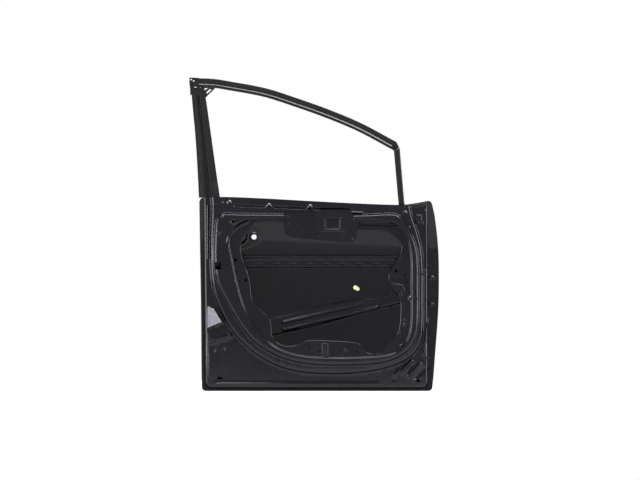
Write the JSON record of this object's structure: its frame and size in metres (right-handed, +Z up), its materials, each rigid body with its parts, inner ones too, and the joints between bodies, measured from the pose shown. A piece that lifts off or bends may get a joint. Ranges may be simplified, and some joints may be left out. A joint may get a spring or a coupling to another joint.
{
  "type": "car door shell",
  "caption": "Bare pressed-steel front left car door with window frame, hemmed outer panel, stepped inner panel, service aperture and side impact beam, dip-coated black.",
  "frame": {"origin": "middle of the upper hinge's flat seat on the front wall's outer surface", "axes": "+X to the front of the car, +Y out of the car, +Z up, with the door shut"},
  "size_m": [0.9961, 0.2338, 1.2508],
  "materials": {
    "body_coat": "glossy black dip primer on pressed steel",
    "frame_coat": "satin black dip primer on folded steel",
    "weld_nut_steel": "dark coated steel",
    "mastic": "cured black mastic"
  },
  "bodies": {
    "root": {"b_pillar_sash": "frame_coat", "beam_end_plate_front": "body_coat", "beam_end_plate_rear": "body_coat", "beam_mastic_pad_1": "mastic", "beam_mastic_pad_2": "mastic", "beam_mastic_pad_3": "mastic", "belt_bracket_plate": "body_coat", "check_strap_nut_high": "weld_nut_steel", "check_strap_nut_low": "weld_nut_steel", "check_strap_plate": "body_coat", "corner_gusset": "frame_coat", "frame_corner_tab": "frame_coat", "front_channel_bracket": "body_coat", "front_sash": "frame_coat", "header_rail": "frame_coat", "inner_belt_rail": "body_coat", "inner_panel": "body_coat", "latch_nut_high": "weld_nut_steel", "latch_nut_low": "weld_nut_steel", "latch_plate": "body_coat", "lower_hinge_nut_high": "weld_nut_steel", "lower_hinge_nut_low": "weld_nut_steel", "lower_hinge_plate": "body_coat", "mirror_plate": "body_coat", "outer_belt_rail": "body_coat", "outer_handle_reinforcement": "body_coat", "outer_panel": "body_coat", "pillar_foot": "frame_coat", "rear_channel_bracket": "body_coat", "rear_glass_channel": "frame_coat", "side_impact_beam": "body_coat", "skin_stiffener": "body_coat", "upper_hinge_nut_high": "weld_nut_steel", "upper_hinge_nut_low": "weld_nut_steel", "upper_hinge_plate": "body_coat"}
  },
  "joints": []
}
